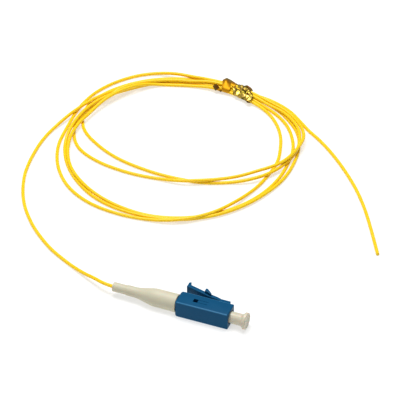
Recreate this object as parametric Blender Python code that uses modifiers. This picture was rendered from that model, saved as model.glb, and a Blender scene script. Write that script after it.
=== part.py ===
"""Fibre optic pigtail: a small form factor plug with its boot and dust cap on one loose, tied fibre.

Metres, +Z up. The plug lies on its side with its latch towards +Y, and +X is the way it plugs in.
The origin is the middle of the side that the plug housing rests on.
"""
import math

import bmesh
import bpy
import numpy as np
from mathutils import Matrix, Vector

MM = 0.001

# Plug housing, a square moulding with its latch
HOUSING_SIDE = 4.75 * MM
HOUSING_LENGTH = 14.5 * MM
HOUSING_EDGE = 0.25 * MM
REAR_CHAMFER = 0.65 * MM
NOSE_BORE_DEPTH = 1.6 * MM
SOCKET_DEPTH = 3.0 * MM
WINDOW_LENGTH = 1.2 * MM
WINDOW_WIDTH = 1.2 * MM
WINDOW_DEPTH = 0.45 * MM
WINDOW_FROM_REAR = 4.3 * MM

# Latch lever, seen from above as an outline in X and Y
LATCH_WIDTH = 3.0 * MM
LATCH_THICKNESS = 1.1 * MM
LATCH_ROOT_FROM_NOSE = 1.3 * MM
LATCH_ROOT_LENGTH = 2.7 * MM
LATCH_ROOT_HEIGHT = 1.2 * MM
LATCH_ROOT_WIDTH = 4.0 * MM
LATCH_ROOT_JOIN = 0.9
LATCH_LENGTH = 13.05 * MM
LATCH_KNEE_FROM_ROOT = 2.7 * MM
LATCH_KNEE_RISE = 2.4 * MM
LATCH_RISE = 4.2 * MM
LATCH_LIP_HEIGHT = 1.0 * MM
LATCH_LIP_LENGTH = 0.7 * MM
LATCH_LIP_BACK = 0.8
EAR_WIDTH = 4.4 * MM
EAR_FROM_TIP = 5.25 * MM
EAR_LENGTH = 2.05 * MM
EAR_HEIGHT = 0.5 * MM
EAR_RAMP_LOW = 0.7
EAR_RAMP_HIGH = 0.4

# Ferrule, its bore in the housing, and the dust cap over it
FERRULE_DIAMETER = 1.25 * MM
FERRULE_OUT = 3.6 * MM
FERRULE_SEAT = 4.5 * MM
CAP_NECK_DIAMETER = 3.1 * MM
CAP_IN_NOSE = 1.3 * MM
CAP_NECK_LENGTH = 2.85 * MM
CAP_FLARE_LENGTH = 0.9 * MM
CAP_RIM_LENGTH = 0.7 * MM
CAP_RIM_DIAMETER = 4.4 * MM
CAP_TIP_SPACE = 0.4 * MM

# Boot, a turned sleeve from the housing down to the fibre
BOOT_DIAMETER = 4.75 * MM
BOOT_STRAIGHT = 5.2 * MM
BOOT_FLARE_LENGTH = 6.6 * MM
BOOT_FLARE_STEPS = 10
BOOT_WAIST_DIAMETER = 2.75 * MM
BOOT_WAIST_LENGTH = 2.1 * MM
BOOT_NECK_DIAMETER = 2.5 * MM
BOOT_NECK_LENGTH = 3.7 * MM
BOOT_STUB_DIAMETER = 3.2 * MM
BOOT_STUB_LENGTH = 2.6 * MM
BOOT_BORE_DEPTH = 8.0 * MM

# Fibre and its clearances
FIBRE_DIAMETER = 0.93 * MM
FIBRE_IN_BOOT = 3.0 * MM
GAP = 0.3 * MM
FIT = 0.15 * MM
POINT_SPACING = 2.4 * MM

# Coil, as radii about its own middle
COIL_X = -33.6 * MM
COIL_Y = 65.5 * MM
COIL_DEPTH = 1.8 * MM
COIL_ROUND = 0.45 * MM
COIL_STEP_ANGLE = 4
STRIP_INSET = 0.05 * MM
STRIP_SECTIONS = 49
TIE_LIFT = 0.55 * MM
TIE_LIFT_RAMP = 14.0

# Twist tie, a foil strip wound round the bundle
TIE_ANGLE = 97.0
TIE_STRIP_WIDTH = 2.8 * MM
TIE_PITCH = 3.3 * MM
TIE_TURNS = 3.5
TIE_STEPS_PER_TURN = 24
TIE_SQUARENESS = 0.5
TIE_THICKNESS = 0.2 * MM
TIE_TWIST_LENGTH = 6.0 * MM
TIE_TWIST_WIDTH = 1.0 * MM
TIE_TWIST_TURNS = 2

# Angle in degrees, inner edge and outer edge in millimetres, once round the coil
BAND_EDGES = [
    (150, 30.4, 36.6), (135, 30.6, 37.2), (120, 30.0, 36.4), (108, 28.7, 35.2), (97, 29.1, 33.0),
    (84, 28.75, 32.65), (71, 28.55, 32.45), (62, 28.5, 34.6), (51, 28.7, 35.7), (37, 27.8, 35.9),
    (28, 27.2, 33.6), (18, 26.8, 32.5), (4, 26.9, 32.4), (-10, 26.9, 32.3), (-25, 27.9, 32.4),
    (-38, 29.0, 32.8), (-52, 31.0, 33.6), (-66, 31.7, 34.5), (-82, 32.5, 34.9), (-98, 31.6, 35.8),
    (-112, 31.4, 36.4), (-126, 31.2, 36.3), (-140, 31.3, 35.7), (-157, 30.8, 34.6), (-172, 30.2, 34.0),
    (-182, 30.1, 34.0), (-187, 30.1, 34.1), (-193, 30.2, 35.3), (-201, 30.3, 35.6),
]
# The two turns that cut across in front, from where they leave the band to where they join it again
STRIP_EDGES = [
    (16, 28.9, 31.2), (8, 28.0, 30.4), (-2, 25.4, 28.9), (-10, 22.9, 26.7), (-20, 20.7, 23.9), (-30, 18.9, 21.8),
    (-40, 17.3, 19.7), (-52, 15.5, 17.7), (-64, 14.7, 16.5), (-78, 14.4, 16.0), (-94, 14.0, 16.8), (-107, 14.0, 18.1),
    (-122, 15.1, 20.4), (-138, 17.1, 24.1), (-150, 19.9, 27.1), (-160, 22.9, 29.3), (-169, 26.2, 30.9), (-177, 29.2, 31.8),
]

# Where the fibre leaves the boot, as steps back from the boot's end and up from the floor, in millimetres
LEAD_DROP = [(0.0, 0.0, 2.35), (-3.2, 0.6, 2.2), (-6.3, 2.0, 1.75), (-9.6, 3.5, 1.1), (-12.6, 5.0, 0.65)]
# The rest of the fibre to the coil, and the cut tail, as points on the floor in millimetres
LEAD_ROUTE = [
    (-40.6, 6.4), (-43.3, 7.8), (-47.6, 10.3), (-51.7, 13.4), (-55.4, 16.7), (-58.8, 20.4), (-61.9, 24.4),
    (-64.5, 28.7), (-66.6, 33.2), (-68.3, 37.9), (-69.4, 42.7), (-70.1, 47.6), (-70.5, 52.6), (-70.4, 57.5),
    (-69.8, 62.0), (-69.1, 66.0), (-68.4, 69.2),
]
TAIL_ROUTE = [
    (-3.7, 86.2), (-0.2, 83.7), (3.7, 80.5), (9.4, 75.0), (13.5, 70.5), (18.4, 64.4), (22.9, 57.7),
    (26.9, 50.8), (30.8, 43.7), (32.7, 40.2),
]

# Worked out from the sizes above
AXIS_Z = HOUSING_SIDE / 2
NOSE_X = HOUSING_LENGTH / 2
REAR_X = -HOUSING_LENGTH / 2
NOSE_BORE_RADIUS = CAP_NECK_DIAMETER / 2 + FIT
SOCKET_RADIUS = BOOT_STUB_DIAMETER / 2 + FIT
FERRULE_RADIUS = FERRULE_DIAMETER / 2
BOOT_LENGTH = BOOT_STRAIGHT + BOOT_FLARE_LENGTH + BOOT_WAIST_LENGTH + BOOT_NECK_LENGTH
BOOT_FRONT_X = REAR_X - GAP
BOOT_REAR_X = BOOT_FRONT_X - BOOT_LENGTH
FIBRE_RADIUS = FIBRE_DIAMETER / 2
MERGE = 0.00001


def clear_scene():
    for obj in list(bpy.data.objects):
        bpy.data.objects.remove(obj, do_unlink=True)


def make_collection(name):
    collection = bpy.data.collections.new(name)
    bpy.context.scene.collection.children.link(collection)
    return collection


def make_material(name, color, roughness, metallic=0.0):
    material = bpy.data.materials.new(name)
    material.use_nodes = True
    shader = material.node_tree.nodes["Principled BSDF"]
    shader.inputs["Base Color"].default_value = (*color, 1.0)
    shader.inputs["Roughness"].default_value = roughness
    shader.inputs["Metallic"].default_value = metallic
    return material


def add_object(name, mesh, collection, material=None):
    obj = bpy.data.objects.new(name, mesh)
    collection.objects.link(obj)
    if material is not None:
        mesh.materials.append(material)
    return obj


def mesh_from(bm, name):
    bmesh.ops.recalc_face_normals(bm, faces=bm.faces)
    mesh = bpy.data.meshes.new(name)
    bm.to_mesh(mesh)
    bm.free()
    return mesh


def box_mesh(name, low, high):
    low = Vector(low)
    high = Vector(high)
    bm = bmesh.new()
    bmesh.ops.create_cube(bm, size=1.0)
    bmesh.ops.scale(bm, vec=high - low, verts=bm.verts)
    bmesh.ops.translate(bm, vec=(low + high) / 2, verts=bm.verts)
    return mesh_from(bm, name)


def rod_mesh(name, radius, start_x, end_x, sides):
    """A cylinder along X on the plug's axis."""
    bm = bmesh.new()
    bmesh.ops.create_cone(bm, cap_ends=True, segments=sides, radius1=radius, radius2=radius, depth=end_x - start_x)
    bmesh.ops.rotate(bm, cent=(0, 0, 0), matrix=Matrix.Rotation(math.radians(90), 3, "Y"), verts=bm.verts)
    bmesh.ops.translate(bm, vec=((start_x + end_x) / 2, 0, AXIS_Z), verts=bm.verts)
    return mesh_from(bm, name)


def turned_object(name, profile, origin_x, collection, material, steps=32):
    """A profile of (distance along +X, radius) points, front to rear, turned about the plug's axis."""
    bm = bmesh.new()
    verts = [bm.verts.new((radius, 0.0, along)) for along, radius in profile]
    for first, second in zip(verts, verts[1:]):
        bm.edges.new((first, second))
    mesh = bpy.data.meshes.new(name)
    bm.to_mesh(mesh)
    bm.free()
    obj = add_object(name, mesh, collection, material)
    obj.location = (origin_x, 0.0, AXIS_Z)
    obj.rotation_euler = (0.0, math.radians(90), 0.0)
    screw = obj.modifiers.new("Turn", "SCREW")
    screw.steps = steps
    screw.render_steps = steps
    screw.use_merge_vertices = True
    screw.merge_threshold = MERGE
    screw.use_smooth_shade = True
    return obj


def extruded_outline(name, points, half_depth, collection):
    """A flat outline in X and Y with its thickness along Z, as a mesh on the plug's axis."""
    curve = bpy.data.curves.new(name, "CURVE")
    curve.dimensions = "2D"
    curve.fill_mode = "BOTH"
    curve.extrude = half_depth
    spline = curve.splines.new("POLY")
    spline.points.add(len(points) - 1)
    for point, (x, y) in zip(spline.points, points):
        point.co = (x, y, 0.0, 1.0)
    spline.use_cyclic_u = True
    obj = bpy.data.objects.new(name, curve)
    collection.objects.link(obj)
    obj.location = (0.0, 0.0, AXIS_Z)
    return curve_to_mesh(obj, name, collection)


def curve_to_mesh(curve_object, name, collection, material=None):
    bpy.context.view_layer.update()
    evaluated = curve_object.evaluated_get(bpy.context.evaluated_depsgraph_get())
    mesh = bpy.data.meshes.new_from_object(evaluated)
    bm = bmesh.new()
    bm.from_mesh(mesh)
    bmesh.ops.remove_doubles(bm, verts=bm.verts, dist=MERGE)
    bmesh.ops.recalc_face_normals(bm, faces=bm.faces)
    bm.to_mesh(mesh)
    bm.free()
    obj = add_object(name + "_mesh", mesh, collection, material)
    obj.matrix_world = curve_object.matrix_world.copy()
    bpy.data.objects.remove(curve_object, do_unlink=True)
    obj.name = name
    return obj


def hide_guide(obj):
    obj.hide_render = True
    obj.display_type = "WIRE"


def combine(obj, other, operation):
    modifier = obj.modifiers.new(other.name, "BOOLEAN")
    modifier.operation = operation
    modifier.solver = "EXACT"
    modifier.object = other
    hide_guide(other)


def smooth_values(stations, angles):
    """Catmull-Rom values at each angle from (angle, value) stations that run downwards."""
    station_angles = np.array([station[0] for station in stations], dtype=float)
    station_values = np.array([station[1] for station in stations], dtype=float)
    slopes = np.gradient(station_values, station_angles)
    values = []
    for angle in angles:
        index = int(np.clip(np.searchsorted(-station_angles, -angle) - 1, 0, len(stations) - 2))
        span = station_angles[index + 1] - station_angles[index]
        t = (angle - station_angles[index]) / span
        start = station_values[index] * (1 + 2 * t) * (1 - t) ** 2 + slopes[index] * span * t * (1 - t) ** 2
        end = station_values[index + 1] * t * t * (3 - 2 * t) + slopes[index + 1] * span * t * t * (t - 1)
        values.append(start + end)
    return np.array(values)


def smooth_route(points, spacing):
    """Points at an even spacing along one smooth curve through the route's own points."""
    route = [Vector(point) for point in points]
    padded = [route[0] * 2 - route[1], *route, route[-1] * 2 - route[-2]]
    fine = []
    for before, start, end, after in zip(padded, padded[1:], padded[2:], padded[3:]):
        for step in range(20):
            t = step / 20
            fine.append(0.5 * (2 * start + (end - before) * t + (2 * before - 5 * start + 4 * end - after) * t ** 2
                               + (3 * start - before - 3 * end + after) * t ** 3))
    fine.append(route[-1])
    lengths = [0.0]
    for start, end in zip(fine, fine[1:]):
        lengths.append(lengths[-1] + (end - start).length)
    count = max(2, round(lengths[-1] / spacing) + 1)
    marks = np.linspace(0.0, lengths[-1], count)
    columns = [np.interp(marks, lengths, [point[axis] for point in fine]) for axis in range(3)]
    return [Vector(values) for values in zip(*columns)]


def fibre_tube(name, points, collection, material):
    curve = bpy.data.curves.new(name, "CURVE")
    curve.dimensions = "3D"
    curve.bevel_depth = FIBRE_RADIUS
    curve.bevel_resolution = 2
    curve.use_fill_caps = True
    spline = curve.splines.new("POLY")
    spline.points.add(len(points) - 1)
    for point, place in zip(spline.points, points):
        point.co = (*place, 1.0)
    curve.materials.append(material)
    obj = bpy.data.objects.new(name, curve)
    collection.objects.link(obj)
    return obj


def housing_body(parts, material):
    """The square moulding, with small round edges and a chamfer all round its rear end."""
    half = HOUSING_SIDE / 2
    mesh = box_mesh("connector_housing", (REAR_X, -half, 0.0), (NOSE_X, half, HOUSING_SIDE))
    weights = mesh.attributes.new("bevel_weight_edge", "FLOAT", "EDGE")
    for edge in mesh.edges:
        ends = [mesh.vertices[index].co.x for index in edge.vertices]
        weights.data[edge.index].value = 1.0 if max(ends) < 0 else HOUSING_EDGE / REAR_CHAMFER
    housing = add_object("connector_housing", mesh, parts, material)
    bevel = housing.modifiers.new("Edges", "BEVEL")
    bevel.width = REAR_CHAMFER
    bevel.limit_method = "WEIGHT"
    bevel.segments = 3
    return housing


def lever_height(distance_from_tip):
    """Height of the lever's outer face above the housing, at a distance forward of its free end."""
    knee = LATCH_LENGTH - LATCH_ROOT_LENGTH - LATCH_KNEE_FROM_ROOT
    share = (distance_from_tip - LATCH_LIP_LENGTH) / (knee - LATCH_LIP_LENGTH)
    return LATCH_RISE + (LATCH_KNEE_RISE - LATCH_RISE) * share


def latch_root_outline():
    """The pad near the nose that the lever grows from, with its front edge cut back."""
    face = HOUSING_SIDE / 2
    sunk = face - HOUSING_EDGE * 2
    front = NOSE_X - LATCH_ROOT_FROM_NOSE
    root_end = front - LATCH_ROOT_LENGTH
    return [
        (front, sunk),
        (front, face + LATCH_ROOT_HEIGHT / 2),
        (front - LATCH_ROOT_HEIGHT / 2, face + LATCH_ROOT_HEIGHT),
        (root_end, face + LATCH_ROOT_HEIGHT),
        (root_end, sunk),
    ]


def latch_outline():
    """A lever that rises behind its root with one knee, and a lip at its free end."""
    face = HOUSING_SIDE / 2
    sunk = face - HOUSING_EDGE * 2
    front = NOSE_X - LATCH_ROOT_FROM_NOSE
    root_middle = front - LATCH_ROOT_LENGTH / 2
    root_end = front - LATCH_ROOT_LENGTH
    knee = root_end - LATCH_KNEE_FROM_ROOT
    tip = front - LATCH_LENGTH
    crotch = root_end - LATCH_ROOT_HEIGHT / 2
    under_knee = face + LATCH_KNEE_RISE - LATCH_THICKNESS
    return [
        (root_middle, sunk),
        (root_middle, face + LATCH_ROOT_HEIGHT / 2),
        (root_end, face + LATCH_ROOT_HEIGHT * LATCH_ROOT_JOIN),
        (knee, face + LATCH_KNEE_RISE),
        (tip + LATCH_LIP_LENGTH, face + LATCH_RISE),
        (tip + LATCH_LIP_LENGTH / 2, face + LATCH_RISE + LATCH_LIP_HEIGHT),
        (tip, face + LATCH_RISE + LATCH_LIP_HEIGHT * LATCH_LIP_BACK),
        (tip, face + lever_height(0) - LATCH_THICKNESS),
        (knee, under_knee),
        (crotch, face + GAP),
        (crotch + GAP, face),
        (crotch + GAP, sunk),
    ]


def ear_outline():
    """The two catches on the lever, one outline for both, ramped towards the nose."""
    face = HOUSING_SIDE / 2
    back = NOSE_X - LATCH_ROOT_FROM_NOSE - LATCH_LENGTH + EAR_FROM_TIP
    front = back + EAR_LENGTH
    back_height = face + lever_height(EAR_FROM_TIP)
    front_height = face + lever_height(EAR_FROM_TIP + EAR_LENGTH)
    return [
        (back, back_height - LATCH_THICKNESS / 2),
        (front, front_height - LATCH_THICKNESS * EAR_RAMP_LOW),
        (front, front_height - LATCH_THICKNESS * EAR_RAMP_HIGH),
        (back + EAR_LENGTH / 6, back_height + EAR_HEIGHT),
        (back, back_height + EAR_HEIGHT),
    ]


def make_housing(parts, cutters, material):
    housing = housing_body(parts, material)
    root = extruded_outline("latch_root_outline", latch_root_outline(), LATCH_ROOT_WIDTH / 2, cutters)
    combine(housing, root, "UNION")
    latch = extruded_outline("latch_outline", latch_outline(), LATCH_WIDTH / 2, cutters)
    combine(housing, latch, "UNION")
    ears = extruded_outline("ear_outline", ear_outline(), EAR_WIDTH / 2, cutters)
    combine(housing, ears, "UNION")
    cuts = [
        rod_mesh("nose_bore", NOSE_BORE_RADIUS, NOSE_X - NOSE_BORE_DEPTH, NOSE_X + GAP, 32),
        rod_mesh("boot_socket", SOCKET_RADIUS, REAR_X - GAP, REAR_X + SOCKET_DEPTH, 32),
        rod_mesh("ferrule_bore", FERRULE_RADIUS + FIT, NOSE_X - NOSE_BORE_DEPTH - FERRULE_SEAT - GAP, NOSE_X, 24),
    ]
    window_start = REAR_X + WINDOW_FROM_REAR
    half = WINDOW_WIDTH / 2
    for side, low, high in (("lower", -GAP, WINDOW_DEPTH), ("upper", HOUSING_SIDE - WINDOW_DEPTH, HOUSING_SIDE + GAP)):
        corner = (window_start + WINDOW_LENGTH, half, high)
        cuts.append(box_mesh(side + "_window", (window_start, -half, low), corner))
    for mesh in cuts:
        cutter = add_object(mesh.name, mesh, cutters)
        combine(housing, cutter, "DIFFERENCE")
    return housing


def make_ferrule(parts, material):
    """A ceramic pin with a chamfered tip, seated in the web behind the nose bore."""
    rear = -NOSE_BORE_DEPTH - FERRULE_SEAT
    chamfer = FERRULE_DIAMETER / 6
    profile = [
        (FERRULE_OUT, 0.0),
        (FERRULE_OUT, FERRULE_RADIUS - chamfer),
        (FERRULE_OUT - chamfer, FERRULE_RADIUS),
        (rear, FERRULE_RADIUS),
        (rear, 0.0),
    ]
    return turned_object("ferrule", profile, NOSE_X, parts, material, 24)


def make_dust_cap(parts, material):
    """A blind sleeve over the ferrule, with a flared rim to pull it off by."""
    neck = CAP_NECK_DIAMETER / 2
    rim = CAP_RIM_DIAMETER / 2
    bore = FERRULE_RADIUS + FIT
    front = CAP_NECK_LENGTH + CAP_FLARE_LENGTH + CAP_RIM_LENGTH
    bore_end = FERRULE_OUT + CAP_TIP_SPACE
    flare_start = front - CAP_RIM_LENGTH - CAP_FLARE_LENGTH
    round_edge = CAP_RIM_LENGTH / 4
    profile = [(front, 0.0), (front, rim - round_edge), (front - round_edge, rim), (front - CAP_RIM_LENGTH, rim)]
    for step in range(1, 5):
        share = step / 5
        radius = neck + (rim - neck) * (1 - share) ** 2
        profile.append((front - CAP_RIM_LENGTH - CAP_FLARE_LENGTH * share, radius))
    profile += [(flare_start, neck), (-CAP_IN_NOSE, neck), (-CAP_IN_NOSE, bore), (bore_end, bore), (bore_end, 0.0)]
    return turned_object("dust_cap", profile, NOSE_X, parts, material)


def make_boot(parts, material):
    """Distances are measured from the boot's rear end, where the fibre leaves it."""
    neck = BOOT_NECK_DIAMETER / 2
    waist = BOOT_WAIST_DIAMETER / 2
    body = BOOT_DIAMETER / 2
    stub = BOOT_STUB_DIAMETER / 2
    bore = FIBRE_RADIUS + GAP
    profile = [
        (BOOT_LENGTH + GAP + BOOT_STUB_LENGTH, 0.0),
        (BOOT_LENGTH + GAP + BOOT_STUB_LENGTH, stub),
        (BOOT_LENGTH, stub),
        (BOOT_LENGTH, body),
    ]
    for step in range(BOOT_FLARE_STEPS + 1):
        share = step / BOOT_FLARE_STEPS
        radius = waist + (body - waist) * (1 + math.cos(math.pi * share)) / 2
        profile.append((BOOT_LENGTH - BOOT_STRAIGHT - BOOT_FLARE_LENGTH * share, radius))
    profile += [(BOOT_NECK_LENGTH, neck), (0.0, neck), (0.0, bore), (BOOT_BORE_DEPTH, bore), (BOOT_BORE_DEPTH, 0.0)]
    return turned_object("boot", profile, BOOT_REAR_X, parts, material)


def tie_span():
    """First and last angle that the wound strip covers, in degrees."""
    radius = bundle_radius(TIE_ANGLE)
    length = TIE_TURNS * TIE_PITCH + TIE_STRIP_WIDTH
    return TIE_ANGLE, TIE_ANGLE - math.degrees(length / radius)


def band_edges_at(angles):
    """Inner and outer radius of the band at each angle between 150 and -210 degrees."""
    first = BAND_EDGES[0]
    closed = BAND_EDGES + [(first[0] - 360, first[1], first[2])]
    inner = smooth_values([(angle, inside) for angle, inside, outside in closed], angles)
    outer = smooth_values([(angle, outside) for angle, inside, outside in closed], angles)
    return inner * MM, outer * MM


def bundle_radius(angle):
    inner, outer = band_edges_at([angle])
    return float(inner[0] + outer[0]) / 2


def lift_at(angle):
    """The bundle rides on the strip under it, and comes down to the floor on both sides."""
    first, last = tie_span()
    outside = max(angle - first, last - angle, 0.0)
    share = max(0.0, 1.0 - outside / TIE_LIFT_RAMP)
    return TIE_LIFT * share * share * (3 - 2 * share)


def band_sections(edges_inner, edges_outer, angles, shrink):
    """Rounded flat sections across the coil, one at each angle."""
    sections = []
    for angle, inner, outer in zip(angles, edges_inner, edges_outer):
        low = lift_at(angle) + shrink
        high = low + COIL_DEPTH - 2 * shrink
        cut = min(COIL_ROUND, (outer - inner) / 3)
        across = [(inner + cut, low), (outer - cut, low), (outer, low + cut), (outer, high - cut)]
        across += [(outer - cut, high), (inner + cut, high), (inner, high - cut), (inner, low + cut)]
        turn = math.radians(angle)
        sections.append([
            (COIL_X + radius * math.cos(turn), COIL_Y + radius * math.sin(turn), height) for radius, height in across
        ])
    return sections


def loft(name, sections, closed):
    """Joins unlike sections into one skin, with end faces unless the last section meets the first."""
    bm = bmesh.new()
    rings = [[bm.verts.new(point) for point in section] for section in sections]
    pairs = list(zip(rings, rings[1:]))
    if closed:
        pairs.append((rings[-1], rings[0]))
    for ring, following in pairs:
        for index in range(len(ring)):
            beside = (index + 1) % len(ring)
            bm.faces.new((ring[index], ring[beside], following[beside], following[index]))
    if not closed:
        bm.faces.new(rings[0])
        bm.faces.new(rings[-1])
    return mesh_from(bm, name)


def make_coil(parts, cutters, material):
    """The outer shape of the five tied turns: a flat band, and the strip that cuts across in front."""
    band_angles = [BAND_EDGES[0][0] - step for step in range(0, 360, COIL_STEP_ANGLE)]
    inner, outer = band_edges_at(band_angles)
    band = loft("fibre_coil", band_sections(inner, outer, band_angles, 0.0), True)
    coil = add_object("fibre_coil", band, parts, material)
    strip_angles = list(np.linspace(STRIP_EDGES[0][0], STRIP_EDGES[-1][0], STRIP_SECTIONS))
    inner = smooth_values([(angle, inside) for angle, inside, outside in STRIP_EDGES], strip_angles) * MM
    outer = smooth_values([(angle, outside) for angle, inside, outside in STRIP_EDGES], strip_angles) * MM
    strip = loft("inner_turns", band_sections(inner, outer, strip_angles, STRIP_INSET), False)
    guide = add_object("inner_turns", strip, cutters)
    combine(coil, guide, "UNION")
    return coil


def tie_place(angle, across, height):
    radius = bundle_radius(angle) + across
    turn = math.radians(angle)
    return (COIL_X + radius * math.cos(turn), COIL_Y + radius * math.sin(turn), height)


def make_twist_tie(parts, cutters, material):
    """A flat strip wound round the bundle, with its ends twisted together on top."""
    middle_angle = sum(tie_span()) / 2
    inner, outer = band_edges_at([middle_angle])
    half_width = float(outer[0] - inner[0]) / 2 + GAP
    half_height = COIL_DEPTH / 2 + GAP
    middle_z = TIE_LIFT + COIL_DEPTH / 2
    radius = bundle_radius(middle_angle)
    count = round(TIE_TURNS * TIE_STEPS_PER_TURN)
    sections = []
    for step in range(count + 1):
        wind = 2 * math.pi * step / TIE_STEPS_PER_TURN
        along = TIE_PITCH * step / TIE_STEPS_PER_TURN
        section = []
        for offset, edge in ((0.0, 0.0), (0.0, 1.0), (TIE_THICKNESS, 1.0), (TIE_THICKNESS, 0.0)):
            side = math.cos(wind)
            rise = math.sin(wind)
            across = math.copysign(abs(side) ** TIE_SQUARENESS, side) * (half_width + offset)
            height = middle_z + math.copysign(abs(rise) ** TIE_SQUARENESS, rise) * (half_height + offset)
            angle = TIE_ANGLE - math.degrees((along + edge * TIE_STRIP_WIDTH) / radius)
            section.append(tie_place(angle, across, height))
        sections.append(section)
    tie = add_object("twist_tie", loft("twist_tie", sections, False), parts, material)
    twist = add_object("twisted_ends", twisted_ends(middle_z + half_height), cutters)
    combine(tie, twist, "UNION")
    return tie


def twisted_ends(top):
    """A flat bar, twisted along its length, that lies along the top of the bundle."""
    first, last = tie_span()
    start_angle = first - math.degrees(TIE_STRIP_WIDTH / 2 / bundle_radius(first))
    sections = []
    for step in range(TIE_STEPS_PER_TURN + 1):
        share = step / TIE_STEPS_PER_TURN
        angle = start_angle - math.degrees(TIE_TWIST_LENGTH * share / bundle_radius(start_angle))
        roll = 2 * math.pi * share * TIE_TWIST_TURNS
        section = []
        for across, up in ((-1, -1), (1, -1), (1, 1), (-1, 1)):
            flat = across * TIE_TWIST_WIDTH / 2
            thick = up * TIE_THICKNESS
            side = flat * math.cos(roll) - thick * math.sin(roll)
            height = flat * math.sin(roll) + thick * math.cos(roll)
            section.append(tie_place(angle, side, top + TIE_TWIST_WIDTH / 2 + height))
        sections.append(section)
    return loft("twisted_ends", sections, False)


def make_lead(parts, material):
    """From inside the boot, down to the floor and round to the coil."""
    points = [(BOOT_REAR_X + FIBRE_IN_BOOT, 0.0, AXIS_Z)]
    for back, across, height in LEAD_DROP:
        points.append((BOOT_REAR_X + back * MM, across * MM, height * MM))
    points += [(x * MM, y * MM, FIBRE_RADIUS) for x, y in LEAD_ROUTE]
    route = smooth_route(points, POINT_SPACING)
    for point in route:
        point.z = max(point.z, FIBRE_RADIUS)
    return fibre_tube("fibre_lead", route, parts, material)


def make_tail(parts, material):
    points = [(x * MM, y * MM, FIBRE_RADIUS) for x, y in TAIL_ROUTE]
    return fibre_tube("fibre_tail", smooth_route(points, POINT_SPACING), parts, material)


def main():
    clear_scene()
    parts = make_collection("fibre_optic_pigtail")
    cutters = make_collection("cutters")
    blue = make_material("housing_blue", (0.016, 0.118, 0.262), 0.38)
    cream = make_material("boot_cream", (0.62, 0.58, 0.48), 0.5)
    cap_cream = make_material("cap_cream", (0.60, 0.56, 0.46), 0.42)
    ceramic = make_material("ferrule_white", (0.85, 0.85, 0.82), 0.2)
    yellow = make_material("fibre_yellow", (0.93, 0.52, 0.02), 0.4)
    foil = make_material("tie_gold", (0.75, 0.52, 0.14), 0.3, 0.9)
    make_housing(parts, cutters, blue)
    make_ferrule(parts, ceramic)
    make_dust_cap(parts, cap_cream)
    make_boot(parts, cream)
    make_coil(parts, cutters, yellow)
    make_twist_tie(parts, cutters, foil)
    make_lead(parts, yellow)
    make_tail(parts, yellow)


main()
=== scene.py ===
# %% [markdown]
# # A fibre optic pigtail
#
# A pigtail is a short length of optical fibre with a plug on one end only. The bare end is spliced
# inside a cabinet. New ones are sold as a loose ring of fibre, held by a strip of gold foil, with a dust
# cap over the plug's white pin.
#
# The solids that carry and joint the real thing come in ready made. This lesson dresses them: it lays the
# real fibre as one long curve, models the plug, boot, cap and foil again with fine edges, and gives each a
# finish. All the modelling helpers work in millimetres, because tiny numbers in metres are hard to read.

# %% Load the frame
import math

import bpy
import numpy as np
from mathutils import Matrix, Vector, noise


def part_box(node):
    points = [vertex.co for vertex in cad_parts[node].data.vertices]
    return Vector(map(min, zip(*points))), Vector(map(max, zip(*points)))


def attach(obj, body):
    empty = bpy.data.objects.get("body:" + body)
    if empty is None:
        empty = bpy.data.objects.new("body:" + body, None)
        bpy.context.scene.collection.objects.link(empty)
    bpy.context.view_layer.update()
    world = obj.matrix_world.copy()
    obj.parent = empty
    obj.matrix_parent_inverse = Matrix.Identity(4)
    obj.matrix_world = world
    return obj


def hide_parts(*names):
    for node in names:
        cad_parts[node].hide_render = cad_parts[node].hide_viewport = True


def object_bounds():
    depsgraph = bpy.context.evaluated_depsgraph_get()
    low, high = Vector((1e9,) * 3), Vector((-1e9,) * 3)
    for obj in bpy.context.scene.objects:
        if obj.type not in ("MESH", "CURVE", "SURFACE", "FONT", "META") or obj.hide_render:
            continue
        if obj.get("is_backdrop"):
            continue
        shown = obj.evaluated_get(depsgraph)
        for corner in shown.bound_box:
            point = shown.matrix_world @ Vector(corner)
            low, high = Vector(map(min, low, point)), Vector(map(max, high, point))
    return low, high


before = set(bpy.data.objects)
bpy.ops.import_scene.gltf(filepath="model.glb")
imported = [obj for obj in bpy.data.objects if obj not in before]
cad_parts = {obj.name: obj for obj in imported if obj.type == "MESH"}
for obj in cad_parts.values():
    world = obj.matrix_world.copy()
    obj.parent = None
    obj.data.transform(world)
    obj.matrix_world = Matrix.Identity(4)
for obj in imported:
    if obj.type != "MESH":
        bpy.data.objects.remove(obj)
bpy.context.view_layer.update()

# %% [markdown]
# ## Camera and light
#
# The camera looks down at about 37 degrees from the open side of the plug. It stands far off with a long
# lens, as product photographers do, so near and far parts of the ring keep almost the same scale.
# The light comes from a wide panel overhead, a small faint one in front and a white sky.

# %% Camera
AIM = Vector((-0.01985, 0.04555, 0.0))
CAMERA_TURN = math.radians(22.3)
CAMERA_HEIGHT = math.radians(36.92)
CAMERA_DISTANCE = 0.70
CAMERA_LENS = 233.9

back = Vector((
    math.sin(CAMERA_TURN) * math.cos(CAMERA_HEIGHT),
    -math.cos(CAMERA_TURN) * math.cos(CAMERA_HEIGHT),
    math.sin(CAMERA_HEIGHT),
))
camera = bpy.data.objects.new("camera", bpy.data.cameras.new("camera"))
bpy.context.scene.collection.objects.link(camera)
camera.data.lens = CAMERA_LENS
camera.data.sensor_width = 36.0
camera.data.clip_start = 0.01
camera.location = AIM + back * CAMERA_DISTANCE
camera.rotation_mode = "QUATERNION"
camera.rotation_quaternion = (-back).to_track_quat("-Z", "Y")
bpy.context.scene.camera = camera
print("camera at", [round(v, 3) for v in camera.location])

# %% Light
bpy.context.scene.view_settings.view_transform = "Standard"
bpy.context.scene.view_settings.look = "Medium High Contrast"


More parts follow.
